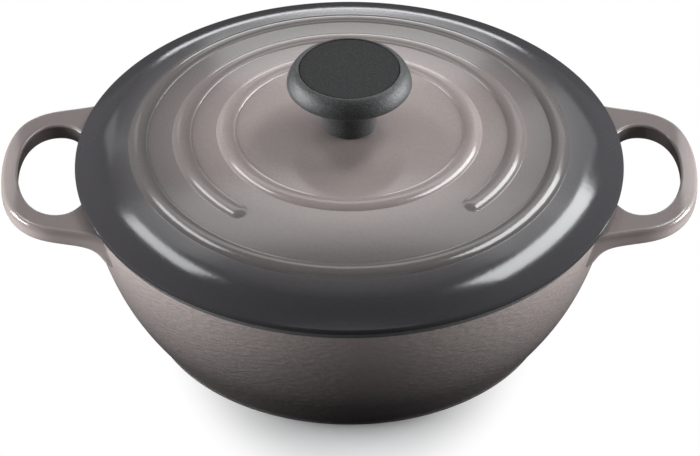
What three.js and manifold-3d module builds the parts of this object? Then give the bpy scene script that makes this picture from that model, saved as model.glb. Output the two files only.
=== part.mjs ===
// Round enamelled cast-iron casserole with loop handles, a ringed lid and a screwed-on knob.
// Millimetres, +Z up. The origin is the centre of the foot, the flat face that the pot stands on.
import * as THREE from 'three';
import { mergeVertices } from 'three/addons/utils/BufferGeometryUtils.js';
import Module from 'manifold-3d';

// Pot
const potHeight = 80.4;
const rimRadius = 128.8;
const rimRound = 1.0;
const rimLean = 13.7; // degrees that the wall leans out from upright, at the rim
const wall = 4.2;
const footRadius = 96.8;
const footHeight = 1.3;
const footRound = 0.5;
const footStep = 0.8; // the wall starts this far outside the foot
const footLean = 40.6; // degrees that the wall leans out from upright, just above the foot
const wallPull = 0.4; // share of the wall's length over which each end keeps its lean
const baseThickness = 5.0;
const innerCornerHeight = 9; // the round from the floor to the wall ends this high above the floor

// Loop handles, cast with the pot
const handleReach = 37.6; // from the rim to the end of the loop
const handleSpan = 97; // across the loop where its sides begin to turn in
const handleSideReach = 10; // from the rim to that widest place
const handleSideTaper = 17.8; // degrees that the sides close in there
const handleRootFlare = 20; // the root runs out this much past each side
const handleRootDepth = 12; // the root reaches this far in, before the hollow is cut
const handleThickness = 8.4;
const handleDrop = 1.9; // the handle's top face lies this far below the rim
const handleRound = 2.6;
const handleEndBar = 8.1;
const handleSideBar = 13;
const handleHoleReach = 10.2; // from the rim to the middle of the finger hole
const handleHoleInner = 17; // from the middle of the finger hole to its end inside the wall
const handleHoleSquare = 0.6; // 0.55 makes the finger hole an ellipse, more makes it squarer
const handleEndPull = 21.4; // how squarely the sides turn into the end
const handleEndFlat = 25;

// Lid
const rimGap = 0.3; // between the rim and the seat of the lid
const lidOverhang = 2.2;
const lidWall = 4.6;
const lipRound = 1.4;
const lipHeight = 3.0;
const lipTopRound = 1.2;
const shoulderWidth = 30.3; // from the lid's edge to the middle of the outer ring
const shoulderHeight = 13.3; // from the seat to the outer foot of the outer ring
const shoulderBend = 13; // the shoulder bends down this far inside the lid's edge
const shoulderBendReach = 4.6; // how far the bend runs to each side of its middle
const domeRise = 11.6;
const skirtDepth = 4.5;
const skirtWidth = 4.0;
const skirtClearance = 1.2;

// Raised rings on the lid
const ringPitch = 21.05;
const ringWidth = 9.0;
const ringHeight = 1.6;
const ringSquareness = 4; // 2 makes the ring's section a plain arch, more flattens its top
const ringRoot = 1.5; // the broken ring reaches this far into the lid
const ringGapAngle = 82; // degrees left out of the middle ring
const lidTurn = 2.7; // degrees that the gap stands off the front of the pot

// Knob and its hardware
const seatGap = 0.1; // between faces that are screwed together
const nestGap = 0.3; // between a piece and the hole that it sits in
const screwRadius = 3.0;
const screwTip = 0.8;
const screwHoleGap = 0.5;
const insertWall = 2.7;
const insertLength = 14;
const insertChamfer = 0.5;
const threadRelief = 3; // the screw stops this far short of the insert's end
const stemWall = 6.5;
const stemRound = 0.7;
const stemFlare = 1.2;
const stemHeight = 10.5;
const padMargin = 1.0; // the lid is flat this far outside the stem
const headOverhang = 15.7;
const headFlareHeight = 12.6;
const headStemPull = 6.5;
const headEdgePull = 8;
const headEdgeLean = 66.5; // degrees that the head's underside leans out from upright at its edge
const headEdgeRound = 1.1;
const headCapHeight = 8.3;
const headRimWidth = 6; // from the disc to the edge of the head
const headCapPull = 3;
const headTopPull = 1.5;
const discThickness = 2.0;
const discRecess = 0.2;
const discChamfer = 0.4;
const screwHeadOverhang = 3.2;
const screwHeadHeight = 3.6;
const screwHeadRound = 1.4;
const recessWidth = 1.4;
const recessLength = 6.4;
const recessDepth = 1.8;
const flatWasherWidth = 5.7;
const flatWasherThickness = 1.4;
const springWasherWidth = 2.4;
const springWasherThickness = 1.6;
const springWasherSplit = 0.8;
const springWasherTilt = 30; // degrees that the split is turned from upright

// Smoothness
const castSegments = 56;
const knobSegments = 40;
const hardwareSegments = 24;
const curveSteps = 8;
const cornerSteps = 4;
const outlineSteps = 10;
const roundSteps = 2;
const ringShares = [0, 0.55, 0.85, 1]; // places across half a ring, from its middle to its foot
const mergeDistance = 1e-4;

// Worked out from the sizes above
const radians = THREE.MathUtils.degToRad;
const rimInner = rimRadius - wall / Math.cos(radians(rimLean));
const lidRadius = rimRadius + lidOverhang;
const skirtOuter = rimInner - skirtClearance;
const skirtInner = skirtOuter - skirtWidth;
const outerRing = lidRadius - shoulderWidth;
const middleRing = outerRing - ringPitch;
const innerRing = middleRing - ringPitch;
const domeFoot = outerRing + ringWidth / 2;
const crown = shoulderHeight + domeRise;
const domeRadius = (domeFoot ** 2 + domeRise ** 2) / (2 * domeRise);
const screwHole = screwRadius + screwHoleGap;
const insertBore = screwRadius + nestGap;
const insertRadius = insertBore + insertWall;
const stemBore = insertRadius + nestGap;
const stemFoot = stemBore + stemWall;
const stemTop = stemFoot + stemFlare;
const padRadius = stemFoot + padMargin;
const knobRadius = stemTop + headOverhang;
const headEdge = stemHeight + headFlareHeight + headEdgeRound;
const knobHeight = headEdge + headCapHeight;
const discRadius = knobRadius - headRimWidth;

const wasm = await Module();
wasm.setup();

// A closed geometry as a solid, with its seams merged and its collapsed triangles dropped.
function solid(geometry) {
  geometry.deleteAttribute('normal');
  geometry.deleteAttribute('uv');
  const merged = mergeVertices(geometry, mergeDistance);
  const triVerts = [];
  for (let i = 0; i < merged.index.count; i += 3) {
    const corners = [0, 1, 2].map((k) => merged.index.getX(i + k));
    if (new Set(corners).size === 3) triVerts.push(...corners);
  }
  return new wasm.Manifold(new wasm.Mesh({
    numProp: 3,
    vertProperties: new Float32Array(merged.attributes.position.array),
    triVerts: new Uint32Array(triVerts),
  }));
}

// A solid of revolution about Z from [radius, height] points, bottom first and then up the outside.
function turned(profile, segments) {
  const points = profile.map(([radius, height]) => new THREE.Vector2(radius, height));
  return solid(new THREE.LatheGeometry(points, segments).rotateX(Math.PI / 2));
}

// A box with its middle at a point, leaned over about X by an angle in degrees.
function box(size, middle, lean = 0) {
  const geometry = new THREE.BoxGeometry(...size).rotateX(radians(lean));
  return solid(geometry.translate(...middle));
}

// Points along a cubic curve between two ends, each with a direction and a pull along it.
function bend([start, startWay, startPull], [end, endWay, endPull], steps = curveSteps) {
  const from = new THREE.Vector2(...start);
  const to = new THREE.Vector2(...end);
  const near = from.clone().addScaledVector(new THREE.Vector2(...startWay), startPull);
  const far = to.clone().addScaledVector(new THREE.Vector2(...endWay), -endPull);
  return new THREE.CubicBezierCurve(from, near, far, to).getPoints(steps).map((p) => [p.x, p.y]);
}

// Points of a round in the corner at a knee, as long on the way to either neighbour as its reach.
function rounded(before, knee, after, reach) {
  const middle = new THREE.Vector2(...knee);
  const [from, to] = [before, after].map((place) => {
    const way = new THREE.Vector2(...place).sub(middle).normalize();
    return middle.clone().addScaledVector(way, reach);
  });
  return new THREE.QuadraticBezierCurve(from, middle, to).getPoints(cornerSteps).map((p) => [p.x, p.y]);
}

// The unit direction that leans out from upright by an angle in degrees.
function leaning(degrees) {
  return [Math.sin(radians(degrees)), Math.cos(radians(degrees))];
}

// A named mesh from a solid.
function piece(name, shape, material) {
  const { vertProperties, triVerts } = shape.getMesh();
  const geometry = new THREE.BufferGeometry();
  geometry.setAttribute('position', new THREE.BufferAttribute(new Float32Array(vertProperties), 3));
  geometry.setIndex(new THREE.BufferAttribute(new Uint32Array(triVerts), 1));
  geometry.computeVertexNormals();
  const mesh = new THREE.Mesh(geometry, material);
  mesh.name = name;
  return mesh;
}

// Wall of the pot: a curve from the foot to the rim, and where it leans at each point
const wallStart = new THREE.Vector2(footRadius + footStep, footHeight);
const wallEnd = new THREE.Vector2(rimRadius, potHeight - rimRound);
const wallBend = wallPull * wallStart.distanceTo(wallEnd);
const wallCurve = new THREE.CubicBezierCurve(
  wallStart,
  wallStart.clone().addScaledVector(new THREE.Vector2(...leaning(footLean)), wallBend),
  wallEnd.clone().addScaledVector(new THREE.Vector2(...leaning(rimLean)), -wallBend),
  wallEnd,
);

// The inside of the wall at a place along that curve: a point, and the way that it runs upwards.
function innerWall(t) {
  const outside = wallCurve.getPoint(t);
  const way = wallCurve.getTangent(t);
  return { point: new THREE.Vector2(outside.x - wall / way.y, outside.y), way };
}

function potOutside() {
  return turned([
    [0, 0],
    [footRadius - footRound, 0],
    [footRadius, footRound],
    [footRadius, footHeight],
    ...wallCurve.getPoints(curveSteps).map((p) => [p.x, p.y]),
    [rimRadius - rimRound, potHeight],
    [0, potHeight],
  ], castSegments);
}

// The hollow of the pot, with a round where its floor turns up into the wall.
function potHollow() {
  const cornerTop = baseThickness + innerCornerHeight;
  const places = Array.from({ length: curveSteps + 1 }, (_, i) => innerWall(i / curveSteps));
  const upper = places.filter(({ point }) => point.y >= cornerTop);
  const { point: leave, way } = upper[0];
  const reach = (leave.y - baseThickness) / way.y;
  const knee = new THREE.Vector2(leave.x - way.x * reach, baseThickness);
  const floorEnd = new THREE.Vector2(knee.x - reach, baseThickness);
  const corner = new THREE.QuadraticBezierCurve(floorEnd, knee, leave).getPoints(cornerSteps);
  return turned([
    [0, baseThickness],
    ...corner.slice(0, -1).map((p) => [p.x, p.y]),
    ...upper.map(({ point }) => [point.x, point.y]),
    [rimInner + rimRound, potHeight],
    [rimInner + rimRound, potHeight + rimRound],
    [0, potHeight + rimRound],
  ], castSegments);
}

// One loop handle on the +X side: a flared, rounded plate with a finger hole.
function handle() {
  const rootRadius = rimRadius - wall;
  const rootHalf = handleSpan / 2 + handleRootFlare;
  const root = new THREE.Vector2(Math.sqrt(rootRadius ** 2 - rootHalf ** 2), rootHalf);
  const side = new THREE.Vector2(rimRadius + handleSideReach, handleSpan / 2);
  const taper = Math.tan(radians(handleSideTaper));
  const end = rimRadius + handleReach;

  // Where the line along the side meets the line that grazes the pot at the root
  const graze = -root.x / root.y;
  const kneeX = (side.y - root.y + graze * root.x + taper * side.x) / (graze + taper);
  const knee = new THREE.Vector2(kneeX, side.y + taper * (side.x - kneeX));
  const turnX = side.x + handleEndPull;
  const turnY = side.y - taper * handleEndPull;

  const outline = new THREE.Shape();
  outline.moveTo(root.x - handleRootDepth, -root.y);
  outline.lineTo(root.x, -root.y);
  outline.quadraticCurveTo(knee.x, -knee.y, side.x, -side.y);
  outline.bezierCurveTo(turnX, -turnY, end, -handleEndFlat, end, 0);
  outline.bezierCurveTo(end, handleEndFlat, turnX, turnY, side.x, side.y);
  outline.quadraticCurveTo(knee.x, knee.y, root.x, root.y);
  outline.lineTo(root.x - handleRootDepth, root.y);

  const holeX = rimRadius + handleHoleReach;
  const holeHalf = handleSpan / 2 - handleSideBar;
  const holeFlat = handleHoleSquare * holeHalf;
  const holeEnd = end - handleEndBar;
  const holeBack = holeX - handleHoleInner;
  const endTurn = holeX + handleHoleSquare * (holeEnd - holeX);
  const backTurn = holeX - handleHoleSquare * handleHoleInner;
  const hole = new THREE.Path();
  hole.moveTo(holeX, -holeHalf);
  hole.bezierCurveTo(endTurn, -holeHalf, holeEnd, -holeFlat, holeEnd, 0);
  hole.bezierCurveTo(holeEnd, holeFlat, endTurn, holeHalf, holeX, holeHalf);
  hole.bezierCurveTo(backTurn, holeHalf, holeBack, holeFlat, holeBack, 0);
  hole.bezierCurveTo(holeBack, -holeFlat, backTurn, -holeHalf, holeX, -holeHalf);
  outline.holes.push(hole);

  const geometry = new THREE.ExtrudeGeometry(outline, {
    depth: handleThickness - 2 * handleRound,
    curveSegments: outlineSteps,
    bevelSize: handleRound,
    bevelThickness: handleRound,
    bevelOffset: -handleRound,
    bevelSegments: roundSteps,
  });
  return geometry.translate(0, 0, potHeight - handleDrop - handleThickness + handleRound);
}

function pot() {
  const right = solid(handle());
  const left = solid(handle().rotateZ(Math.PI));
  return potOutside().add(right).add(left).subtract(potHollow());
}

// Height of the lid's domed top above the seat, without its rings.
function domeAt(radius) {
  return crown - domeRadius + Math.sqrt(domeRadius ** 2 - radius ** 2);
}

// Height of a raised ring at a share of its half width from its middle.
function ringRise(share) {
  return ringHeight * (1 - Math.abs(share) ** ringSquareness);
}

// Points across a raised ring that stands on the dome, from its outer foot to its inner foot.
function ringSection(radius) {
  const inward = ringShares.slice(1).map((share) => -share);
  return [...ringShares.toReversed(), ...inward].map((share) => {
    const place = radius + share * ringWidth / 2;
    return [place, domeAt(place) + ringRise(share)];
  });
}

// The lid's casting without its middle ring, seat at height 0.
function lidPlate() {
  const lipTop = [lidRadius, lipHeight];
  const knee = [lidRadius - shoulderBend, domeAt(lidRadius - shoulderBend)];
  const ringFoot = [domeFoot, shoulderHeight];
  const shoulder = [
    ...rounded([lidRadius, 0], lipTop, knee, lipTopRound),
    ...rounded(lipTop, knee, ringFoot, shoulderBendReach),
  ];
  const padTop = domeAt(padRadius);
  const padUnder = padTop - lidWall;
  const roof = Array.from({ length: cornerSteps + 1 }, (_, i) => {
    const place = padRadius + (i / cornerSteps) * (skirtInner - padRadius);
    return [place, domeAt(place) - lidWall];
  });
  const profile = [
    [screwHole, padUnder],
    ...roof,
    [skirtInner, -skirtDepth],
    [skirtOuter, -skirtDepth],
    [skirtOuter, 0],
    [lidRadius - lipRound, 0],
    ...[30, 60].map((angle) => [
      lidRadius - lipRound * (1 - Math.sin(radians(angle))),
      lipRound * (1 - Math.cos(radians(angle))),
    ]),
    [lidRadius, lipRound],
    ...shoulder,
    ...ringSection(outerRing),
    [middleRing, domeAt(middleRing)],
    ...ringSection(innerRing),
    [padRadius, padTop],
    [screwHole, padTop],
  ];
  return turned([...profile, profile[0]], castSegments);
}

// The rounded end of the broken ring: half its section turned about an upright axis.
function ringEnd(angle) {
  const section = ringShares.map((share) => [share * ringWidth / 2, ringRise(share)]);
  const profile = [[0, -ringRoot], [ringWidth / 2, -ringRoot], ...section.toReversed()];
  const points = profile.map(([radius, height]) => new THREE.Vector2(radius, height));
  const geometry = new THREE.LatheGeometry(points, hardwareSegments).rotateX(Math.PI / 2);
  geometry.rotateY(Math.asin(middleRing / domeRadius));
  geometry.translate(middleRing, 0, domeAt(middleRing));
  return solid(geometry.rotateZ(radians(angle)));
}

// The middle ring, broken at the front and rounded where it stops.
function brokenRing() {
  const front = -90 + lidTurn;
  const tip = THREE.MathUtils.radToDeg(Math.asin(ringWidth / 2 / middleRing));
  const [from, to] = [front - ringGapAngle / 2 - tip, front + ringGapAngle / 2 + tip];
  const section = ringSection(middleRing);
  const [outerFoot, innerFoot] = [section[0], section[section.length - 1]];
  const profile = [
    [innerFoot[0], innerFoot[1] - ringRoot],
    [outerFoot[0], outerFoot[1] - ringRoot],
    ...section,
  ];
  const ring = turned([...profile, profile[0]], castSegments);
  const reach = 2 * middleRing;
  const sector = new THREE.Shape();
  sector.moveTo(0, 0);
  sector.lineTo(reach * Math.cos(radians(from)), reach * Math.sin(radians(from)));
  sector.absarc(0, 0, reach, radians(from), radians(to));
  const cut = new THREE.ExtrudeGeometry(sector, { depth: 2 * crown, bevelEnabled: false });
  return ring.subtract(solid(cut)).add(ringEnd(from)).add(ringEnd(to));
}

// The knob's moulding, foot at height 0, with a pocket for the disc and a bore for the insert.
function knob() {
  const boreTop = insertLength + nestGap;
  const pocket = discRadius + nestGap;
  const pocketFloor = knobHeight - discRecess - discThickness - seatGap;
  const underside = bend(
    [[stemTop, stemHeight], [0, 1], headStemPull],
    [[knobRadius - headEdgeRound, headEdge - headEdgeRound], leaning(headEdgeLean), headEdgePull],
  );
  const cap = bend(
    [[knobRadius, headEdge], [0, 1], headCapPull],
    [[pocket + discChamfer, knobHeight], [-1, 0], headTopPull],
  );
  return turned([
    [0, boreTop],
    [stemBore, boreTop],
    [stemBore, 0],
    [stemFoot - stemRound, 0],
    [stemFoot, stemRound],
    ...underside,
    ...cap,
    [pocket, knobHeight - discChamfer],
    [pocket, pocketFloor],
    [0, pocketFloor],
  ], knobSegments);
}

function knobDisc() {
  return turned([
    [0, 0],
    [discRadius, 0],
    [discRadius, discThickness - discChamfer],
    [discRadius - discChamfer, discThickness],
    [0, discThickness],
  ], knobSegments);
}

function knobInsert() {
  const profile = [
    [insertBore, 0],
    [insertRadius - insertChamfer, 0],
    [insertRadius, insertChamfer],
    [insertRadius, insertLength - insertChamfer],
    [insertRadius - insertChamfer, insertLength],
    [insertBore, insertLength],
  ];
  return turned([...profile, profile[0]], hardwareSegments);
}

// The screw, bearing face of its head at height 0 and shank upwards, with a cross recess below.
function knobScrew(shankLength) {
  const headRadius = screwRadius + screwHeadOverhang;
  const eased = screwHeadRound * (1 - Math.SQRT1_2);
  const blank = turned([
    [0, -screwHeadHeight],
    [headRadius - screwHeadRound, -screwHeadHeight],
    [headRadius - eased, eased - screwHeadHeight],
    [headRadius, -screwHeadHeight + screwHeadRound],
    [headRadius, 0],
    [screwRadius, 0],
    [screwRadius, shankLength - screwTip],
    [screwRadius - screwTip, shankLength],
    [0, shankLength],
  ], hardwareSegments);
  const recess = [0, 0, -screwHeadHeight];
  const across = box([recessLength, recessWidth, 2 * recessDepth], recess);
  const along = box([recessWidth, recessLength, 2 * recessDepth], recess);
  return blank.subtract(across).subtract(along);
}

// A flat ring round the screw, bottom at height 0.
function washer(width, thickness) {
  const inner = screwRadius + nestGap;
  const profile = [
    [inner, 0],
    [inner + width, 0],
    [inner + width, thickness],
    [inner, thickness],
  ];
  return turned([...profile, profile[0]], hardwareSegments);
}

function springWasher() {
  const middle = screwRadius + nestGap + springWasherWidth / 2;
  const split = [2 * springWasherWidth, springWasherSplit, 3 * springWasherThickness];
  const cut = box(split, [middle, 0, springWasherThickness / 2], springWasherTilt);
  return washer(springWasherWidth, springWasherThickness).subtract(cut);
}

// Materials
const enamel = new THREE.MeshStandardMaterial({ color: '#8c8581', roughness: 0.3, metalness: 0 });
const lidEnamel = new THREE.MeshStandardMaterial({ color: '#857f7c', roughness: 0.25, metalness: 0 });
const phenolic = new THREE.MeshStandardMaterial({ color: '#2c2d2e', roughness: 0.5, metalness: 0 });
const inlay = new THREE.MeshStandardMaterial({ color: '#353637', roughness: 0.7, metalness: 0 });
const brass = new THREE.MeshStandardMaterial({ color: '#b08d4c', roughness: 0.35, metalness: 1 });
const steel = new THREE.MeshStandardMaterial({ color: '#b9bbbd', roughness: 0.3, metalness: 1 });

// The knob stands on the lid, and its disc and insert sit in it
const knobGroup = new THREE.Group();
knobGroup.position.z = domeAt(padRadius) + seatGap;
const disc = piece('knob_disc', knobDisc(), inlay);
disc.position.z = knobHeight - discRecess - discThickness;
const insert = piece('knob_insert', knobInsert(), brass);
knobGroup.add(piece('knob', knob(), phenolic), disc, insert);

// The washers and the screw hang under the lid, one below the other
const flatWasherTop = domeAt(padRadius) - lidWall - seatGap;
const springWasherTop = flatWasherTop - flatWasherThickness - seatGap;
const screwSeat = springWasherTop - springWasherThickness - seatGap;
const screwEnd = knobGroup.position.z + insertLength - threadRelief;
const flatWasher = piece('flat_washer', washer(flatWasherWidth, flatWasherThickness), steel);
flatWasher.position.z = flatWasherTop - flatWasherThickness;
const splitWasher = piece('spring_washer', springWasher(), steel);
splitWasher.position.z = springWasherTop - springWasherThickness;
const screw = piece('knob_screw', knobScrew(screwEnd - screwSeat), steel);
screw.position.z = screwSeat;

// The lid, with all that is fastened to it, sits on the rim of the pot
const lidGroup = new THREE.Group();
lidGroup.position.z = potHeight + rimGap;
lidGroup.add(piece('lid', lidPlate().add(brokenRing()), lidEnamel));
lidGroup.add(knobGroup, flatWasher, splitWasher, screw);

const casserole = new THREE.Group();
casserole.name = 'casserole';
casserole.add(piece('pot', pot(), enamel), lidGroup);

export default casserole;
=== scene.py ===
# Round enamelled casserole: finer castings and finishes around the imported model, in a white studio.
import math

import bmesh
import bpy
from mathutils import Matrix, Quaternion, Vector
from mathutils.geometry import interpolate_bezier


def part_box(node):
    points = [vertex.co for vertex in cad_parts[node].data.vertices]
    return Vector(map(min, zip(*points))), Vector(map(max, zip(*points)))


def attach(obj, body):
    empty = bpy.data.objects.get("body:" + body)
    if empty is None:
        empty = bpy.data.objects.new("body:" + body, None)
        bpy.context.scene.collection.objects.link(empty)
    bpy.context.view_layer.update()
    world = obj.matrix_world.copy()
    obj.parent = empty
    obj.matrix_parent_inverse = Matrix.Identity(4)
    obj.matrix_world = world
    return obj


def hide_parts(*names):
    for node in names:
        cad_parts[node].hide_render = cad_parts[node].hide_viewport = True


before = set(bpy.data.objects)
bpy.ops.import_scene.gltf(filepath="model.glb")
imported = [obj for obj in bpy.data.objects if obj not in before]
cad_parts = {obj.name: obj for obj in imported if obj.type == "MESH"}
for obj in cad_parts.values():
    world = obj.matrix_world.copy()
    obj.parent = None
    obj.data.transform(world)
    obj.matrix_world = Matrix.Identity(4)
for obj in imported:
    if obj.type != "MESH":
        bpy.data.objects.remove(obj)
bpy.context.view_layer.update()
scene = bpy.context.scene
mm = 0.001
weld = 0.002 * mm

potLow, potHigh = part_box("pot")
lidLow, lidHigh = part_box("lid")
knobLow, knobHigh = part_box("knob")
discLow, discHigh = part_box("knob_disc")
print("frame loaded")


# points and curves in the upright half plane that the turned pieces are spun from
def at(radius, height):
    return Vector((radius, 0, height))


def leaning(degrees):
    return at(math.sin(math.radians(degrees)), math.cos(math.radians(degrees)))


def bend(start, startWay, startPull, end, endWay, endPull, count):
    near = start + startWay.normalized() * startPull
    far = end - endWay.normalized() * endPull
    return interpolate_bezier(start, near, far, end, count)


def corner(start, knee, end, count):
    share = 2 / 3  # a cubic with these pulls is the plain round through the knee
    return interpolate_bezier(start, start.lerp(knee, share), end.lerp(knee, share), end, count)


def smoothStep(low, high, value):
    share = min(max((value - low) / (high - low), 0), 1)
    return share * share * (3 - 2 * share)


# an eighth is spun and then doubled round the axis, which is much quicker than one long spin
def spinProfile(points, steps, closed=False):
    mesh = bmesh.new()
    verts = [mesh.verts.new(point) for point in points]
    edges = [mesh.edges.new(pair) for pair in zip(verts, verts[1:])]
    if closed:
        edges.append(mesh.edges.new((verts[-1], verts[0])))
    bmesh.ops.spin(mesh, geom=verts + edges, cent=(0, 0, 0), axis=(0, 0, 1), angle=math.tau / 8,
                   steps=steps // 8)
    for turn in (math.tau / 8, math.tau / 4, math.tau / 2):
        copied = bmesh.ops.duplicate(mesh, geom=mesh.verts[:] + mesh.edges[:] + mesh.faces[:])["geom"]
        turned = [item for item in copied if isinstance(item, bmesh.types.BMVert)]
        bmesh.ops.rotate(mesh, verts=turned, cent=(0, 0, 0), matrix=Matrix.Rotation(turn, 3, "Z"))
    bmesh.ops.remove_doubles(mesh, verts=mesh.verts, dist=weld)
    bmesh.ops.recalc_face_normals(mesh, faces=mesh.faces)
    return mesh


def finishPiece(name, mesh, finishes, body, sharpAngle=38):
    data = bpy.data.meshes.new(name)
    mesh.to_mesh(data)
    mesh.free()
    for finish in finishes:
        data.materials.append(finish)
    data.shade_smooth()
    data.set_sharp_from_angle(angle=math.radians(sharpAngle))
    piece = bpy.data.objects.new(name, data)
    scene.collection.objects.link(piece)
    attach(piece, body)
    return piece


# node helpers
def addNode(tree, kind, settings=None, **inputs):
    node = tree.nodes.new(kind)
    for key, value in (settings or {}).items():
        setattr(node, key, value)
    for key, value in inputs.items():
        socket = node.inputs[int(key[1:])] if key[0] == "i" and key[1:].isdigit() else node.inputs[key]
        if isinstance(value, bpy.types.NodeSocket):
            tree.links.new(value, socket)
        else:
            socket.default_value = value
    return node


def maths(tree, operation, first, second=0.0, clamp=False):
    settings = {"operation": operation, "use_clamp": clamp}
    return addNode(tree, "ShaderNodeMath", settings, i0=first, i1=second).outputs[0]


def mixColour(tree, share, first, second, blend="MIX"):
    settings = {"data_type": "RGBA", "blend_type": blend}
    return addNode(tree, "ShaderNodeMix", settings, i0=share, i6=first, i7=second).outputs[2]


def greyColour(tree, level):
    return addNode(tree, "ShaderNodeCombineColor", i0=level, i1=level, i2=level).outputs[0]


def mapped(tree, value, low, high, toLow=0.0, toHigh=1.0):
    return addNode(tree, "ShaderNodeMapRange", i0=value, i1=low, i2=high, i3=toLow, i4=toHigh).outputs[0]


def noise(tree, place, scale, detail, roughness):
    node = addNode(tree, "ShaderNodeTexNoise", i0=place, Scale=scale, Detail=detail, Roughness=roughness)
    return node.outputs[0]


def lengthOf(tree, vector):
    return addNode(tree, "ShaderNodeVectorMath", {"operation": "LENGTH"}, i0=vector).outputs["Value"]


# distance from the upright axis
def axisDistance(tree, parted):
    flat = addNode(tree, "ShaderNodeCombineXYZ", i0=parted.outputs[0], i1=parted.outputs[1], i2=0.0)
    return lengthOf(tree, flat.outputs[0])


def colourRamp(tree, value, stops):
    node = addNode(tree, "ShaderNodeValToRGB", i0=value)
    ramp = node.color_ramp
    ramp.interpolation = "LINEAR"
    while len(ramp.elements) < len(stops):
        ramp.elements.new(1)
    for element, (place, colour) in zip(ramp.elements, stops):
        element.position = place
        element.color = (*colour, 1)
    return node.outputs[0]


def newFinish(name):
    finish = bpy.data.materials.new(name)
    finish.use_nodes = True
    tree = finish.node_tree
    return finish, tree, tree.nodes["Principled BSDF"]


def newGroup(name, numbers, outputs):
    group = bpy.data.node_groups.new(name, "ShaderNodeTree")
    group.interface.new_socket("Place", in_out="INPUT", socket_type="NodeSocketVector")
    for title, start in numbers.items():
        socket = group.interface.new_socket(title, in_out="INPUT", socket_type="NodeSocketFloat")
        socket.default_value = start
    for title in outputs:
        group.interface.new_socket(title, in_out="OUTPUT", socket_type="NodeSocketFloat")
    return group, group.nodes.new("NodeGroupInput").outputs, group.nodes.new("NodeGroupOutput").inputs


def useGroup(tree, group, **inputs):
    place = tree.nodes.new("ShaderNodeTexCoord").outputs["Object"]
    node = addNode(tree, "ShaderNodeGroup", {"node_tree": group})
    tree.links.new(place, node.inputs["Place"])
    for title, value in inputs.items():
        node.inputs[title].default_value = value
    return node.outputs, place


def addBump(tree, shader, height, depth):
    bump = addNode(tree, "ShaderNodeBump", Strength=1.0, Distance=depth, Height=height)
    tree.links.new(bump.outputs["Normal"], shader.inputs["Normal"])


# pebbled skin of enamel over sand-cast iron, with a soft mottle in the glaze
skinLook = {
    "waveDetail": 2.0, "waveRoughness": 0.45, "peelFineness": 3.1, "peelDetail": 1.0, "peelRoughness": 0.4,
    "peelShare": 0.3, "mottleScale": 800.0, "mottleDetail": 3.0, "mottleRoughness": 0.6,
}


def makeEnamelSkin():
    look = skinLook
    group, given, result = newGroup("enamelSkin", {"Pebble": 4 * mm, "Squeeze": 1.0}, ("Waves", "Mottle"))
    parted = addNode(group, "ShaderNodeSeparateXYZ", i0=given["Place"])
    upright = maths(group, "MULTIPLY", parted.outputs[2], given["Squeeze"])
    squeezed = addNode(group, "ShaderNodeCombineXYZ", i0=parted.outputs[0], i1=parted.outputs[1],
                       i2=upright).outputs[0]
    coarse = maths(group, "DIVIDE", 1.0, given["Pebble"])
    fine = maths(group, "MULTIPLY", coarse, look["peelFineness"])
    waves = noise(group, squeezed, coarse, look["waveDetail"], look["waveRoughness"])
    peel = noise(group, squeezed, fine, look["peelDetail"], look["peelRoughness"])
    mottle = noise(group, given["Place"], look["mottleScale"], look["mottleDetail"], look["mottleRoughness"])
    mixed = maths(group, "ADD", waves, maths(group, "MULTIPLY", peel, look["peelShare"]))
    group.links.new(mixed, result["Waves"])
    group.links.new(mottle, result["Mottle"])
    return group


# grain of moulded resin: tight dimples and paler flecks of filler
grainLook = {
    "dimpleDetail": 3.0, "dimpleRoughness": 0.65, "fillerFineness": 1.4, "fillerDetail": 1.0,
    "fillerRoughness": 0.5, "fleckFrom": 0.52, "fleckTo": 0.72,
}


def makeResinGrain():
    look = grainLook
    group, given, result = newGroup("resinGrain", {"Grain": 0.9 * mm}, ("Dimples", "Flecks"))
    scale = maths(group, "DIVIDE", 1.0, given["Grain"])
    fine = maths(group, "MULTIPLY", scale, look["fillerFineness"])
    dimples = noise(group, given["Place"], scale, look["dimpleDetail"], look["dimpleRoughness"])
    filler = noise(group, given["Place"], fine, look["fillerDetail"], look["fillerRoughness"])
    group.links.new(dimples, result["Dimples"])
    group.links.new(mapped(group, filler, look["fleckFrom"], look["fleckTo"]), result["Flecks"])
    return group


# fine turning marks round the upright axis, broken up by a little tarnish
tarnishLook = {"scale": 450.0, "detail": 4.0, "roughness": 0.6}


def makeTurningMarks():
    look = tarnishLook
    group, given, result = newGroup("turningMarks", {"Pitch": 0.25 * mm}, ("Marks", "Tarnish"))
    parted = addNode(group, "ShaderNodeSeparateXYZ", i0=given["Place"])
    travel = maths(group, "ADD", axisDistance(group, parted), parted.outputs[2])
    angle = maths(group, "DIVIDE", maths(group, "MULTIPLY", travel, math.tau), given["Pitch"])
    halved = maths(group, "MULTIPLY", maths(group, "SINE", angle), 0.5)
    tarnish = noise(group, given["Place"], look["scale"], look["detail"], look["roughness"])
    group.links.new(maths(group, "ADD", halved, 0.5), result["Marks"])
    group.links.new(tarnish, result["Tarnish"])
    return group


enamelSkin = makeEnamelSkin()
resinGrain = makeResinGrain()
turningMarks = makeTurningMarks()


maskLow, maskHigh = 0.3, 0.7  # where a noise mask with its middle at 0.5 starts and ends


# a little lighter and darker by a mask
def mottled(tree, colour, mask, amount):
    level = mapped(tree, mask, maskLow, maskHigh, 1 - amount, 1 + amount)
    return mixColour(tree, 1.0, colour, greyColour(tree, level), "MULTIPLY")


def roughened(tree, shader, mask, middle, amount):
    level = mapped(tree, mask, maskLow, maskHigh, middle - amount, middle + amount)
    tree.links.new(level, shader.inputs["Roughness"])


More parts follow.
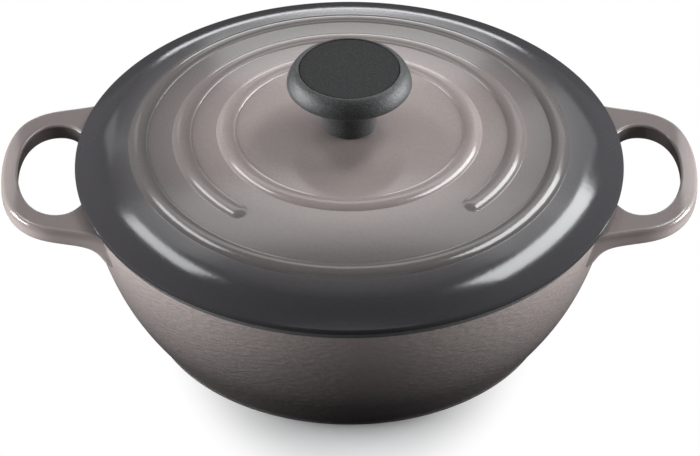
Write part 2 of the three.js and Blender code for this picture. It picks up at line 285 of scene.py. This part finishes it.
taupe = (0.315, 0.27, 0.257)
charcoal = (0.038, 0.036, 0.039)
strapTaupe = (0.35, 0.3, 0.286)
# painted shade: the strap's top face is coloured darker than its sides to stand in for how the light falls on
# it
strapTopPaintedShade = (0.185, 0.158, 0.151)
glossSpread = 0.12  # how far the enamel's roughness wanders, as a share of it


# enamel whose glaze darkens along the radius (lid) or towards the foot (pot)
def makeEnamel(name, look):
    finish, tree, shader = newFinish(name)
    skin, place = useGroup(tree, enamelSkin, Pebble=look["pebble"], Squeeze=look["squeeze"])
    parted = addNode(tree, "ShaderNodeSeparateXYZ", i0=place)
    reach = axisDistance(tree, parted) if look["along"] == "radius" else parted.outputs[2]
    share = mapped(tree, reach, look["from"], look["to"])
    glaze = mottled(tree, colourRamp(tree, share, look["stops"]), skin["Mottle"], look["mottle"])
    tree.links.new(glaze, shader.inputs["Base Color"])
    roughened(tree, shader, skin["Mottle"], look["roughness"], look["roughness"] * glossSpread)
    shader.inputs["Specular IOR Level"].default_value = look["specular"]
    addBump(tree, shader, skin["Waves"], look["depth"])
    return finish


lidGlaze = {
    "along": "radius", "from": 30 * mm, "to": 131 * mm,
    "stops": [(0.0, taupe), (0.3, (0.262, 0.224, 0.214)), (0.45, (0.183, 0.158, 0.151)),
              (0.6, (0.13, 0.115, 0.112)), (0.72, (0.105, 0.094, 0.092)), (0.76, (0.068, 0.064, 0.066)),
              (0.86, charcoal), (1.0, charcoal)],
    "pebble": 2.2 * mm, "squeeze": 1.0, "depth": 0.018 * mm, "mottle": 0.06,
    "roughness": 0.14, "specular": 0.5,
}
potGlaze = {
    "along": "height", "from": 0.0, "to": 80 * mm,
    # the stop at the very foot is a touch lighter than the one above it: painted light that lifts the shade
    # at the foot
    "stops": [(0.0, (0.08, 0.071, 0.071)), (0.25, (0.078, 0.068, 0.067)), (0.65, (0.2, 0.174, 0.166)),
              (1.0, (0.34, 0.292, 0.278))],
    "pebble": 5 * mm, "squeeze": 3.5, "depth": 0.5 * mm, "mottle": 0.08, "roughness": 0.42, "specular": 0.2,
}
# handle glaze by height; the band at the very top is painted shade on the strap's top face
handleGlazeWithTopShade = {
    **potGlaze,
    "stops": [(0.0, (0.1, 0.087, 0.084)), (0.8, strapTaupe), (0.93, strapTaupe), (0.98, strapTopPaintedShade),
              (1.0, strapTopPaintedShade)],
    "squeeze": 1.0, "depth": 0.05 * mm, "mottle": 0.02, "roughness": 0.22, "specular": 0.6,
}
# painted shade: the finger hole's inner wall is coloured near black to stand in for the shade inside the hole
holePaintedShadeGlaze = {
    **handleGlazeWithTopShade,
    "stops": [(0.0, (0.09, 0.078, 0.075)), (1.0, (0.1, 0.086, 0.083))], "specular": 0.4,
}
insideGlaze = {
    "along": "height", "from": 0.0, "to": 90 * mm,
    "stops": [(0.0, (0.66, 0.57, 0.45)), (1.0, (0.71, 0.63, 0.51))],
    "pebble": 6 * mm, "squeeze": 1.0, "depth": 0.05 * mm, "mottle": 0.03, "roughness": 0.22, "specular": 0.5,
}
rimGlaze = {
    "along": "height", "from": 70 * mm, "to": 84 * mm,
    "stops": [(0.0, (0.09, 0.088, 0.088)), (1.0, (0.1, 0.098, 0.098))],
    "pebble": 1.6 * mm, "squeeze": 1.0, "depth": 0.1 * mm, "mottle": 0.15,
    "roughness": 0.55, "specular": 0.4,
}
lidEnamel = makeEnamel("lidEnamel", lidGlaze)
potEnamel = makeEnamel("potEnamel", potGlaze)
handleEnamelWithTopShade = makeEnamel("handleEnamelWithTopShade", handleGlazeWithTopShade)
holePaintedShade = makeEnamel("holePaintedShade", holePaintedShadeGlaze)
insideEnamel = makeEnamel("insideEnamel", insideGlaze)
rimEnamel = makeEnamel("rimEnamel", rimGlaze)


def makeResin(name, look):
    finish, tree, shader = newFinish(name)
    grain = useGroup(tree, resinGrain, Grain=look["grain"])[0]
    share = maths(tree, "MULTIPLY", grain["Flecks"], look["flecks"])
    resin = mixColour(tree, share, (*look["colour"], 1), (*look["fleckColour"], 1))
    tree.links.new(resin, shader.inputs["Base Color"])
    roughened(tree, shader, grain["Dimples"], look["roughness"], look["roughSpread"])
    shader.inputs["Specular IOR Level"].default_value = look["specular"]
    addBump(tree, shader, grain["Dimples"], look["depth"])
    return finish


knobLook = {
    "colour": (0.034, 0.0345, 0.035), "fleckColour": (0.12, 0.122, 0.124), "flecks": 0.7,
    "grain": 0.75 * mm, "roughness": 0.46, "roughSpread": 0.08, "specular": 0.4, "depth": 0.2 * mm,
}
discLook = {
    **knobLook, "colour": (0.013, 0.0132, 0.0135), "flecks": 0.25, "roughness": 0.6, "specular": 0.22,
    "depth": 0.1 * mm,
}
knobResin = makeResin("knobResin", knobLook)
discResin = makeResin("discResin", discLook)


def makeMetal(name, look):
    finish, tree, shader = newFinish(name)
    turned = useGroup(tree, turningMarks, Pitch=look["pitch"])[0]
    metal = mixColour(tree, turned["Tarnish"], (*look["bright"], 1), (*look["dull"], 1))
    tree.links.new(metal, shader.inputs["Base Color"])
    roughened(tree, shader, turned["Tarnish"], look["roughness"], look["roughSpread"])
    shader.inputs["Metallic"].default_value = 1.0
    addBump(tree, shader, turned["Marks"], look["depth"])
    return finish


brassLook = {
    "bright": (0.72, 0.52, 0.2), "dull": (0.5, 0.34, 0.13), "pitch": 0.3 * mm,
    "roughness": 0.3, "roughSpread": 0.1, "depth": 0.01 * mm,
}
steelLook = {
    "bright": (0.62, 0.63, 0.64), "dull": (0.4, 0.405, 0.41), "pitch": 0.22 * mm,
    "roughness": 0.32, "roughSpread": 0.1, "depth": 0.008 * mm,
}
insertBrass = makeMetal("insertBrass", brassLook)
hardwareSteel = makeMetal("hardwareSteel", steelLook)
print("finishes made")

# pot: foot, flared wall, matte rim and a rounded floor inside
pot = {
    "footRadius": 96.9 * mm, "footHeight": 1.3 * mm, "footRound": 0.4 * mm, "footBlend": 0.3 * mm,
    "footStep": -0.4 * mm, "footLean": 38, "footShares": (0, 0.5, 0.9), "wall": 4.2 * mm, "wallPull": 0.4,
    "rimLean": 13.7, "rimRadius": 128.8 * mm, "rimRound": 1.0 * mm, "rimInset": 0.4 * mm,
    "rimBand": 2.2 * mm, "base": 5 * mm, "cornerHeight": 9 * mm, "floorShares": (0.6, 0.25, 0),
    "outsidePoints": 44, "insidePoints": 40, "steps": 256,
}


def potWallPoints(count):
    start = at(pot["footRadius"] + pot["footStep"], pot["footHeight"])
    end = at(pot["rimRadius"], potHigh.z - pot["rimRound"])
    pull = pot["wallPull"] * (end - start).length
    return bend(start, leaning(pot["footLean"]), pull, end, leaning(pot["rimLean"]), pull, count)


wallPoints = potWallPoints(60)


def wallRadiusAt(height):
    for low, high in zip(wallPoints, wallPoints[1:]):
        if low.z <= height <= high.z:
            return low.lerp(high, (height - low.z) / (high.z - low.z)).x
    return pot["rimRadius"]


def insideOf(points, thickness):
    inside = []
    for before, here, after in zip(points, points[1:], points[2:]):
        inside.append(here - at(thickness / (after - before).normalized().z, 0))
    return inside


def makePot():
    outside = potWallPoints(pot["outsidePoints"])
    inside = [point for point in insideOf(potWallPoints(pot["insidePoints"]), pot["wall"])
              if point.z > pot["base"] + pot["cornerHeight"]]
    leave, way = inside[0], (inside[1] - inside[0]).normalized()
    reach = (leave.z - pot["base"]) / way.z
    knee = leave - way * reach
    foot, footRound, footTop = pot["footRadius"], pot["footRound"], pot["footHeight"]
    rimTop, rimRound = potHigh.z, pot["rimRound"]
    rimInner = inside[-1].x + pot["rimInset"]
    profile = [at(foot * share, 0) for share in pot["footShares"]]
    profile += corner(at(foot - footRound, 0), at(foot, 0), at(foot, footRound), 5)
    profile += corner(at(foot, footTop - pot["footBlend"]), at(foot, footTop), outside[0], 4)
    profile += outside[1:-1]
    profile += corner(outside[-1], at(pot["rimRadius"], rimTop), at(pot["rimRadius"] - rimRound, rimTop), 6)
    profile += corner(at(rimInner + rimRound, rimTop), at(rimInner, rimTop), inside[-1], 6)
    profile += reversed(inside[1:-1])
    profile += corner(leave, knee, at(knee.x - reach, pot["base"]), 14)
    profile += [at(knee.x * share, pot["base"]) for share in pot["floorShares"]]
    mesh = spinProfile(profile, pot["steps"])
    for face in mesh.faces:
        middle = face.calc_center_median()
        outward = face.normal.to_2d().dot(middle.to_2d())
        if middle.z > rimTop - pot["rimBand"]:
            face.material_index = 2
        elif middle.z > pot["base"] - 0.1 * mm and (outward < 0 or face.normal.z > 0.5):
            face.material_index = 1
    piece = finishPiece("potCasting", mesh, (potEnamel, insideEnamel, rimEnamel), "pot")
    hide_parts("pot")


makePot()
print("pot made")

# loop handles: a rounded strap with a finger hole, filleted into the wall from below
handle = {
    "span": 97 * mm, "sideReach": 10 * mm, "sideTaper": 11.5, "rootFlare": 19 * mm, "drop": 1.9 * mm,
    "thickness": 8.4 * mm, "outerRound": 2.1 * mm, "holeRound": 1.4 * mm, "roundSteps": 5,
    "endBar": 8.1 * mm, "sideBar": 13.4 * mm, "holeReach": 10.2 * mm, "holeInner": 17 * mm,
    "holeSquare": 0.6, "endPull": 21.4 * mm, "endFlat": 25 * mm, "endSlope": 0.25, "rootFillet": 9 * mm,
    "sink": 1.6 * mm, "along": 14, "across": 4, "weld": 0.01 * mm, "holeWall": 0.3,
}
rootRadius = pot["rimRadius"] - pot["wall"]  # the strap is drawn this far in, before it is set on the wall


def handleOutline():
    side = Vector((pot["rimRadius"] + handle["sideReach"], -handle["span"] / 2, 0))
    end = Vector((potHigh.x, 0, 0))
    taper = math.tan(math.radians(handle["sideTaper"]))
    rootHalf = handle["span"] / 2 + handle["rootFlare"]
    root = Vector((math.sqrt(rootRadius ** 2 - rootHalf ** 2), -rootHalf, 0))
    graze = root.x / root.y
    kneeX = (-side.y + root.y - graze * root.x + taper * side.x) / (taper - graze)
    knee = Vector((kneeX, side.y - taper * (side.x - kneeX), 0))
    turn = Vector((side.x + handle["endPull"], side.y + taper * handle["endPull"], 0))
    loop = interpolate_bezier(end, end - Vector((0, handle["endFlat"], 0)), turn, side, handle["along"])
    return loop + corner(side, knee, root, handle["along"])[1:]


def handleHole():
    middle = pot["rimRadius"] + handle["holeReach"]
    half = handle["span"] / 2 - handle["sideBar"]
    end = Vector((potHigh.x - handle["endBar"], 0, 0))
    side = Vector((middle, -half, 0))
    back = Vector((middle - handle["holeInner"], 0, 0))
    square = handle["holeSquare"]

    def quarter(tip, count):
        flat = tip - Vector((0, square * half, 0))
        return interpolate_bezier(tip, flat, side + Vector((square * (tip.x - middle), 0, 0)), side, count)

    inner = [point for point in reversed(quarter(back, 90)) if point.length > rootRadius]
    picks = [round(i * (len(inner) - 1) / (handle["along"] - 1)) for i in range(handle["along"])]
    return quarter(end, handle["along"]) + [inner[i] for i in picks[1:]]


def makeHandle(name, turn):
    top = potHigh.z - handle["drop"]
    mesh = bmesh.new()
    chains = []
    for points in (handleOutline(), handleHole()):
        verts = [mesh.verts.new(point) for point in points]
        chains += [mesh.edges.new(pair) for pair in zip(verts, verts[1:])]
    bmesh.ops.bridge_loops(mesh, edges=chains)
    crossing = [edge for edge in mesh.edges if edge not in chains]
    bmesh.ops.subdivide_edges(mesh, edges=crossing, cuts=handle["across"], use_grid_fill=True)
    strap = list(mesh.faces)
    raised = bmesh.ops.extrude_face_region(mesh, geom=strap)["geom"]
    lifted = [item for item in raised if isinstance(item, bmesh.types.BMVert)]
    bmesh.ops.translate(mesh, verts=lifted, vec=(0, 0, handle["thickness"]))
    middleFaces = [face for face in mesh.faces if all(abs(v.co.y) < weld for v in face.verts)]
    bmesh.ops.delete(mesh, geom=middleFaces, context="FACES_ONLY")
    bmesh.ops.recalc_face_normals(mesh, faces=mesh.faces)
    holeMiddle = Vector((pot["rimRadius"] + handle["holeReach"], 0))
    for isHole, offset in ((False, handle["outerRound"]), (True, handle["holeRound"])):
        rims = []
        for edge in mesh.edges:
            sides = [face for face in edge.link_faces if abs(face.normal.z) < 0.1]
            level = [face for face in edge.link_faces if abs(face.normal.z) > 0.9]
            atRoot = all(abs(v.co.to_2d().length - rootRadius) < 0.5 * mm for v in edge.verts)
            if len(sides) == 1 and len(level) == 1 and not atRoot:
                middle = sides[0].calc_center_median().to_2d() - holeMiddle
                if (middle.dot(sides[0].normal.to_2d()) < 0) == isHole:
                    rims.append(edge)
        bmesh.ops.bevel(mesh, geom=rims, offset=offset, segments=handle["roundSteps"], profile=0.5,
                        affect="EDGES", material=-1)
    bottom = top - handle["thickness"]
    bmesh.ops.translate(mesh, verts=mesh.verts, vec=(0, 0, bottom))
    for vert in mesh.verts:  # the end bar's top slopes down outwards
        share = smoothStep(bottom, top, vert.co.z)
        vert.co.z -= handle["endSlope"] * max(vert.co.x - potHigh.x + handle["endBar"], 0) * share
    fillet = handle["rootFillet"]
    for vert in mesh.verts:  # the underside rounds down into the wall
        clear = min(max(vert.co.to_2d().length - wallRadiusAt(vert.co.z), 0), fillet)
        sag = fillet - math.sqrt(fillet ** 2 - (fillet - clear) ** 2)
        vert.co.z -= sag * (1 - smoothStep(bottom, top, vert.co.z))
    for vert in mesh.verts:  # the root follows the wall, a little inside it
        wallRadius = wallRadiusAt(vert.co.z)
        if vert.co.to_2d().length < wallRadius:
            vert.co.xy *= (wallRadius - handle["sink"]) / vert.co.to_2d().length
    bmesh.ops.mirror(mesh, geom=mesh.verts[:] + mesh.edges[:] + mesh.faces[:], matrix=Matrix(),
                     merge_dist=handle["weld"], axis="Y")
    bmesh.ops.remove_doubles(mesh, verts=mesh.verts, dist=handle["weld"])
    bmesh.ops.rotate(mesh, verts=mesh.verts, cent=(0, 0, 0), matrix=Matrix.Rotation(turn, 3, "Z"))
    bmesh.ops.recalc_face_normals(mesh, faces=mesh.faces)
    holeMiddle.rotate(Matrix.Rotation(turn, 2))
    # the inward-facing walls of the finger hole take the painted shade finish
    for face in mesh.faces:
        inward = (holeMiddle - face.calc_center_median().to_2d()).dot(face.normal.to_2d()) > 0
        if inward and abs(face.normal.z) < handle["holeWall"]:
            face.material_index = 1
    piece = finishPiece(name, mesh, (handleEnamelWithTopShade, holePaintedShade), "pot", sharpAngle=180)
    smooth = piece.modifiers.new("smoothStrap", "SUBSURF")
    smooth.levels = smooth.render_levels = 2


makeHandle("loopHandleRight", 0)
makeHandle("loopHandleLeft", math.pi)
print("handles made")

# lid: lip, dark shoulder, low dome with two whole rings and one that is broken at the front
lid = {
    "lipRound": 1.4 * mm, "lipHeight": 2.7 * mm, "lipTopRound": 1.2 * mm, "shoulderWidth": 30.3 * mm,
    "shoulderHeight": 13.3 * mm, "shoulderBend": 13 * mm, "bendReach": 6 * mm, "domeRise": 11.6 * mm,
    "wall": 4.6 * mm, "skirtDepth": 4.5 * mm, "skirtWidth": 4 * mm, "skirtGap": 1.2 * mm,
    "skirtRound": 0.8 * mm, "seatRound": 0.6 * mm, "roofRound": 6 * mm, "roofDrop": 5 * mm, "roofPoints": 8,
    "insideEdge": 0.4 * mm, "ringPitch": 21.05 * mm, "ringWidth": 9 * mm, "ringHeight": 1.1 * mm,
    "ringArch": 0.87, "ringPoints": 26, "gapAngle": 82, "turn": 2.7, "screwHole": 3.5 * mm,
    "padRadius": 13.8 * mm, "runShares": (0.03, 0.1, 0.3, 0.5, 0.7, 0.9, 0.97), "steps": 512,
}
lidRadius = lidHigh.y
lidSeat = lidLow.z + lid["skirtDepth"]
outerRing = lidRadius - lid["shoulderWidth"]
middleRing = outerRing - lid["ringPitch"]
innerRing = middleRing - lid["ringPitch"]
domeFoot = outerRing + lid["ringWidth"] / 2
domeRadius = (domeFoot ** 2 + lid["domeRise"] ** 2) / (2 * lid["domeRise"])
crown = lidSeat + lid["shoulderHeight"] + lid["domeRise"]


def domeAt(radius):
    return crown - domeRadius + math.sqrt(domeRadius ** 2 - radius ** 2)


# a bead that is steepest at its foot: share is the place from the ring's middle to its foot
def ringRise(share):
    foot = math.sqrt(1 - lid["ringArch"] ** 2)
    return lid["ringHeight"] * (math.sqrt(1 - (lid["ringArch"] * share) ** 2) - foot) / (1 - foot)


def ringSection(radius):
    section = []
    for i in range(lid["ringPoints"] + 1):
        share = math.cos(math.pi * i / lid["ringPoints"])
        place = radius + share * lid["ringWidth"] / 2
        section.append(at(place, domeAt(place) + ringRise(share)))
    return section


def domeRun(start, end):
    places = [start + (end - start) * share for share in lid["runShares"]]
    return [at(place, domeAt(place)) for place in places]


def breakMiddleRing(mesh):
    front = math.radians(-90 + lid["turn"])
    halfWidth = lid["ringWidth"] / 2
    halfGap = math.radians(lid["gapAngle"]) / 2 + math.asin(halfWidth / middleRing)
    tips = [Vector((middleRing, 0, 0)) for side in (-1, 1)]
    for tip, side in zip(tips, (-1, 1)):
        tip.rotate(Matrix.Rotation(front + side * halfGap, 3, "Z"))
    for vert in mesh.verts:
        radius = vert.co.to_2d().length
        onTop = vert.co.z > domeAt(min(radius, domeFoot)) - lid["wall"] / 2
        if not onTop or abs(radius - middleRing) >= halfWidth:
            continue
        off = math.atan2(vert.co.y, vert.co.x) - front
        if abs((off + math.pi) % math.tau - math.pi) < halfGap:
            share = min((vert.co.xy - tip.xy).length for tip in tips) / halfWidth
            vert.co.z = domeAt(radius) + ringRise(min(share, 1))


def makeLid():
    wall, lip, pad, hole = lid["wall"], lid["lipRound"], lid["padRadius"], lid["screwHole"]
    skirtOuter = pot["rimRadius"] - pot["wall"] / math.cos(math.radians(pot["rimLean"])) - lid["skirtGap"]
    skirtInner = skirtOuter - lid["skirtWidth"]
    skirtLow, skirtRound, seatRound = lidLow.z, lid["skirtRound"], lid["seatRound"]
    padTop = domeAt(pad)
    ringHalf = lid["ringWidth"] / 2
    roofEnd = domeAt(skirtInner) - wall
    roofReach = skirtInner - lid["roofRound"] - pad
    roofPlaces = [pad + roofReach * i / lid["roofPoints"] for i in range(1, lid["roofPoints"] + 1)]

    # underside, from the screw hole out to the skirt and the seat
    profile = [at(hole, padTop - wall), at(pad, padTop - wall)]
    profile += [at(place, domeAt(place) - wall) for place in roofPlaces]
    profile += corner(profile[-1], at(skirtInner, roofEnd), at(skirtInner, roofEnd - lid["roofDrop"]), 7)[1:]
    profile += corner(at(skirtInner, skirtLow + skirtRound), at(skirtInner, skirtLow),
                      at(skirtInner + skirtRound, skirtLow), 4)
    profile += corner(at(skirtOuter - skirtRound, skirtLow), at(skirtOuter, skirtLow),
                      at(skirtOuter, skirtLow + skirtRound), 4)
    profile += corner(at(skirtOuter, lidSeat - seatRound), at(skirtOuter, lidSeat),
                      at(skirtOuter + seatRound, lidSeat), 4)
    profile += corner(at(lidRadius - lip, lidSeat), at(lidRadius, lidSeat), at(lidRadius, lidSeat + lip), 7)

    # lip and shoulder, whose bend runs into the dome without a crease
    lipTop, topRound = at(lidRadius, lidSeat + lid["lipHeight"]), lid["lipTopRound"]
    bendEnd = lidRadius - lid["shoulderBend"] - lid["bendReach"]
    fall = bendEnd / math.sqrt(domeRadius ** 2 - bendEnd ** 2)
    knee = at(bendEnd + lid["bendReach"], domeAt(bendEnd) - fall * lid["bendReach"])
    downSlope = (lipTop - knee).normalized()
    profile += corner(lipTop - at(0, topRound), lipTop, lipTop - downSlope * topRound, 8)
    profile += corner(knee + downSlope * lid["bendReach"], knee, at(bendEnd, domeAt(bendEnd)), 22)

    # dome with its rings, from the outer one in
    profile += domeRun(profile[-1].x, domeFoot)
    for ring, inside in ((outerRing, middleRing), (middleRing, innerRing)):
        profile += ringSection(ring)
        profile += domeRun(ring - ringHalf, inside + ringHalf)
    profile += ringSection(innerRing)
    profile += domeRun(innerRing - ringHalf, pad)
    profile += [at(pad, padTop), at(hole, padTop)]
    mesh = spinProfile(profile, lid["steps"], closed=True)
    breakMiddleRing(mesh)
    bmesh.ops.recalc_face_normals(mesh, faces=mesh.faces)
    for face in mesh.faces:
        middle = face.calc_center_median()
        radius = middle.to_2d().length
        if face.normal.z < -0.9 and radius > skirtOuter:
            face.material_index = 2
        elif radius < skirtOuter + lid["insideEdge"] and face.normal.z < 0.1:
            if middle.z < domeAt(radius) - wall / 2:
                face.material_index = 1
    piece = finishPiece("lidCasting", mesh, (lidEnamel, insideEnamel, rimEnamel), "lid")
    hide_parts("lid")
    return piece


lidPiece = makeLid()
print("lid made")

# knob: waisted stem, flared head and an inlaid disc
knob = {
    "stemFoot": 12.8 * mm, "stemTop": 14 * mm, "stemRound": 0.7 * mm, "stemHeight": 10.5 * mm,
    "stemStart": at(0.05, 2) * mm, "stemBend": 3 * mm, "stemWay": at(0.1, 1), "stemPull": 6.5 * mm,
    "flareHeight": 12.6 * mm, "edgePull": 8 * mm, "edgeWay": at(0.92, 0.4), "edgeRound": 1.1 * mm,
    "edgeBend": 0.7 * mm, "capPull": 2.7 * mm, "topPull": 2.6 * mm, "gap": 0.3 * mm, "floorGap": 0.1 * mm,
    "bore": 6.3 * mm, "boreHeight": 14.3 * mm, "discRound": 0.3 * mm, "discShares": (0.9, 0.5, 0),
    "steps": 128,
}


def makeKnob():
    foot, top, radius = knobLow.z, knobHigh.z, knobHigh.y
    up, bore, boreTop = at(0, 1), knob["bore"], foot + knob["boreHeight"]
    stemFoot, stemRound, stemBend = at(knob["stemFoot"], foot), knob["stemRound"], knob["stemBend"]
    stemTop, stemWay = at(knob["stemTop"], foot + knob["stemHeight"]), knob["stemWay"]
    edge = at(radius, stemTop.z + knob["flareHeight"] + knob["edgeRound"])
    lower = edge - at(knob["edgeRound"], knob["edgeRound"])
    pocket, pocketFloor = discHigh.y + knob["gap"], discLow.z - knob["floorGap"]
    brim = at(pocket + knob["discRound"], top)
    profile = [at(0, boreTop), at(bore, boreTop), at(bore, foot)]
    profile += corner(stemFoot - at(stemRound, 0), stemFoot, stemFoot + at(0, stemRound), 5)
    profile += bend(stemFoot + knob["stemStart"], up, stemBend, stemTop, stemWay, stemBend, 8)[:-1]
    profile += bend(stemTop, stemWay, knob["stemPull"], lower, knob["edgeWay"], knob["edgePull"], 22)
    profile += bend(lower, knob["edgeWay"], knob["edgeBend"], edge, up, knob["edgeBend"], 7)[1:]
    profile += bend(edge, up, knob["capPull"], brim, at(-1, 0), knob["topPull"], 16)[1:]
    profile += corner(brim, at(pocket, top), at(pocket, top - knob["discRound"]), 5)[1:]
    profile += [at(pocket, pocketFloor), at(0, pocketFloor)]
    mesh = spinProfile(profile, knob["steps"])
    piece = finishPiece("knobMoulding", mesh, (knobResin,), "lid")
    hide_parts("knob")


def makeKnobDisc():
    low, rim, discRound = discLow.z, at(discHigh.y, discHigh.z), knob["discRound"]
    profile = [at(0, low), at(rim.x, low)]
    profile += corner(rim - at(0, discRound), rim, rim - at(discRound, 0), 5)
    profile += [at(rim.x * share, rim.z) for share in knob["discShares"]]
    mesh = spinProfile(profile, knob["steps"])
    piece = finishPiece("knobInlay", mesh, (discResin,), "lid")
    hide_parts("knob_disc")


makeKnob()
makeKnobDisc()
for node, finish in (("knob_insert", insertBrass), ("knob_screw", hardwareSteel),
                     ("flat_washer", hardwareSteel), ("spring_washer", hardwareSteel)):
    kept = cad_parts[node].data.materials
    kept.clear()
    kept.append(finish)
print("knob and hardware made")

# studio: white floor, low boxes at both sides, high ones behind for the lid's streaks, faint ones between
studio = {
    "floorSize": 40.0, "shadowFrom": 0.1, "shadowTo": 0.158, "shadowSquash": 1.7, "floorBounce": 0.27,
    "mirrorFloor": 0.02, "paper": 0.9, "skyDim": 0.13, "lampColour": (0.97, 0.985, 1.0), "aimHeight": 70 * mm,
}
sideLeft = {"azimuth": -91, "height": 5, "distance": 1.2, "size": (0.8, 0.55), "power": 34}
sideRight = {"azimuth": 98, "height": 5, "distance": 1.2, "size": (0.8, 0.55), "power": 33}
softBoxes = {
    "sideBoxLeft": {**sideLeft, "on": "others"},
    "lidLightLeft": {**sideLeft, "on": "lid", "mirrors": False},
    "sideBoxRight": {**sideRight, "on": "others"},
    "lidLightRight": {**sideRight, "on": "lid", "mirrors": False},
    "highBoxLeft": {"azimuth": -128, "height": 52.5, "roll": -33, "distance": 1.5, "size": (0.25, 0.6),
                    "power": 4.4},
    "highBoxRight": {"azimuth": 129, "height": 50, "roll": 33, "distance": 1.5, "size": (0.36, 1.0),
                     "power": 13.8},
    "glowRight": {"azimuth": 155, "height": 33, "distance": 1.6, "size": (0.4, 0.7), "power": 0.8},
    "glowLeft": {"azimuth": -153, "height": 26, "distance": 1.6, "size": (0.16, 0.34), "power": 0.16},
    "backStrip": {"azimuth": -179, "height": 6.5, "distance": 2.0, "size": (1.0, 0.24), "power": 3.4},
    "backGlow": {"azimuth": 180, "height": 20, "distance": 2.0, "size": (0.7, 0.5), "power": 1.7},
    "backHigh": {"azimuth": 180, "height": 54, "distance": 1.6, "size": (1.5, 0.4), "power": 2.6},
    "backHighCore": {"azimuth": 180, "height": 54, "distance": 1.62, "size": (1.0, 0.28), "power": 0.8},
    "frontFill": {"azimuth": 0, "height": 62, "distance": 1.8, "size": (1.2, 0.8), "power": 1.8},
}


def makeFloor():
    mesh = bmesh.new()
    bmesh.ops.create_grid(mesh, x_segments=8, y_segments=8, size=studio["floorSize"] / 2)
    data = bpy.data.meshes.new("studioFloor")
    mesh.to_mesh(data)
    mesh.free()
    floor = bpy.data.objects.new("studioFloor", data)
    scene.collection.objects.link(floor)
    finish, tree, shader = newFinish("floorPaper")
    place = addNode(tree, "ShaderNodeTexCoord").outputs["Object"]
    squash = addNode(tree, "ShaderNodeVectorMath", {"operation": "MULTIPLY"}, i0=place,
                     i1=(studio["shadowSquash"], 1, 1)).outputs[0]
    away = addNode(tree, "ShaderNodeMapRange", {"interpolation_type": "SMOOTHSTEP"},
                   i0=lengthOf(tree, squash), i1=studio["shadowFrom"], i2=studio["shadowTo"]).outputs[0]
    light = addNode(tree, "ShaderNodeLightPath").outputs
    mirrored = maths(tree, "ADD", light["Is Glossy Ray"], light["Is Transmission Ray"], True)
    mirrored = maths(tree, "MULTIPLY", maths(tree, "MULTIPLY", mirrored, away), studio["mirrorFloor"])
    seen = maths(tree, "ADD", light["Is Camera Ray"], mirrored, True)
    shaded = addNode(tree, "ShaderNodeBsdfDiffuse")
    bounce = maths(tree, "MULTIPLY", light["Is Diffuse Ray"], studio["floorBounce"])
    paper = mixColour(tree, seen, greyColour(tree, bounce), (*[studio["paper"]] * 3, 1))
    tree.links.new(paper, shaded.inputs["Color"])
    glow = addNode(tree, "ShaderNodeEmission", Color=(1, 1, 1, 1), Strength=1.0)
    mixed = addNode(tree, "ShaderNodeMixShader", i0=maths(tree, "MULTIPLY", away, seen),
                    i1=shaded.outputs[0], i2=glow.outputs[0])
    tree.links.new(mixed.outputs[0], tree.nodes["Material Output"].inputs["Surface"])
    tree.nodes.remove(shader)
    data.materials.append(finish)


def makeWorld():
    world = bpy.data.worlds.new("studioWorld")
    scene.world = world
    world.use_nodes = True
    tree = world.node_tree
    light = addNode(tree, "ShaderNodeLightPath").outputs
    level = maths(tree, "MAXIMUM", light["Is Camera Ray"], studio["skyDim"])
    background = tree.nodes["Background"]
    background.inputs["Color"].default_value = (1, 1, 1, 1)
    tree.links.new(level, background.inputs["Strength"])


# the low side boxes would blow out the glossy lid from the side, so the lid doesn't mirror them
def makeReach(name, state):
    reach = bpy.data.collections.new(name)
    reach.objects.link(lidPiece)
    reach.collection_objects[0].light_linking.link_state = state
    return reach


reaches = {"lid": makeReach("lidOnly", "INCLUDE"), "others": makeReach("allButLid", "EXCLUDE"), "all": None}


def makeSoftBox(name, box):
    lamp = bpy.data.lights.new(name, "AREA")
    lamp.shape = "RECTANGLE"
    lamp.size, lamp.size_y = box["size"]
    lamp.energy = box["power"]
    lamp.color = studio["lampColour"]
    side, height = math.radians(box["azimuth"]), math.radians(box["height"])
    way = Vector((math.sin(side) * math.cos(height), -math.cos(side) * math.cos(height), math.sin(height)))
    holder = bpy.data.objects.new(name, lamp)
    holder.location = at(0, studio["aimHeight"]) + way * box["distance"]
    turn = way.to_track_quat("Z", "Y") @ Quaternion((0, 0, 1), math.radians(box.get("roll", 0)))
    holder.rotation_euler = turn.to_euler()
    holder.visible_camera = False
    holder.visible_glossy = box.get("mirrors", True)
    holder.light_linking.receiver_collection = reaches[box.get("on", "all")]
    scene.collection.objects.link(holder)


makeFloor()
makeWorld()
for name, box in softBoxes.items():
    makeSoftBox(name, box)
print("studio lit")

# camera: a long lens above the front
photo = {
    "width": 700, "axisPixel": 349.3, "focalPixels": 6500, "elevation": 37.48, "distance": 3.127,
    "aimHeight": 43.1 * mm, "sensorWidth": 36,
}
lens = bpy.data.cameras.new("studioCamera")
lens.sensor_width = photo["sensorWidth"]
lens.lens = photo["sensorWidth"] * photo["focalPixels"] / photo["width"]
lens.shift_x = 0.5 - photo["axisPixel"] / photo["width"]
camera = bpy.data.objects.new("studioCamera", lens)
tilt = math.radians(photo["elevation"])
back, rise = photo["distance"] * math.cos(tilt), photo["distance"] * math.sin(tilt)
camera.location = (0, -back, photo["aimHeight"] + rise)
camera.rotation_euler = (math.pi / 2 - tilt, 0, 0)
scene.collection.objects.link(camera)
scene.camera = camera
scene.view_settings.view_transform = "Standard"
print("camera set")

bpy.context.view_layer.update()
